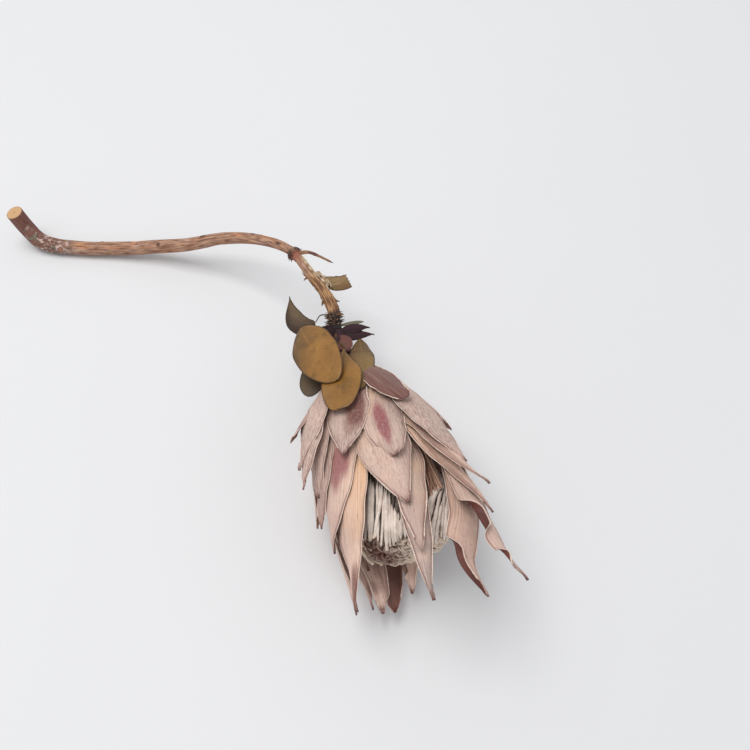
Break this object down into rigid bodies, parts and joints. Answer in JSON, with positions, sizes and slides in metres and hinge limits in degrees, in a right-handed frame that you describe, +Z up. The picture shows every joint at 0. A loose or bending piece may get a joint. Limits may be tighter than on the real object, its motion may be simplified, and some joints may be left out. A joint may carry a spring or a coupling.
{
  "type": "king protea flower",
  "caption": "Dried king protea: pointed dusty-pink bracts in tiers round a dense head of cream styles, on a curved woody stem with leathery leaves under the head.",
  "frame": {"origin": "centre of the flower's footprint on the surface that it lies on, at the height of that surface", "axes": "+Z up; +X from the cut end of the stem towards the open end of the head; +Y to the side of the stem where the leaves are"},
  "size_m": [0.4056, 0.1388, 0.0959],
  "materials": {
    "stem": "rough dry bark, grey-brown with orange-brown streaks",
    "collar": "dull dry, dark purple-brown",
    "bracts": "matte velvety, dusty pink-grey with pale edges",
    "florets": "matte fibrous, cream",
    "leaf_ochre": "satin leathery, ochre",
    "leaf_olive": "satin leathery, olive brown",
    "leaf_brown": "dull leathery, tan brown",
    "leaf_grey": "dull leathery, dark grey-green"
  },
  "bodies": {
    "root": {"stem": "stem", "collar": "collar", "bracts": "bracts", "florets": "florets", "leaf_ochre_large": "leaf_ochre", "leaf_ochre_long": "leaf_ochre", "leaf_olive": "leaf_olive", "leaf_torn": "leaf_olive", "leaf_folded": "leaf_brown", "leaf_grey": "leaf_grey"}
  },
  "joints": []
}
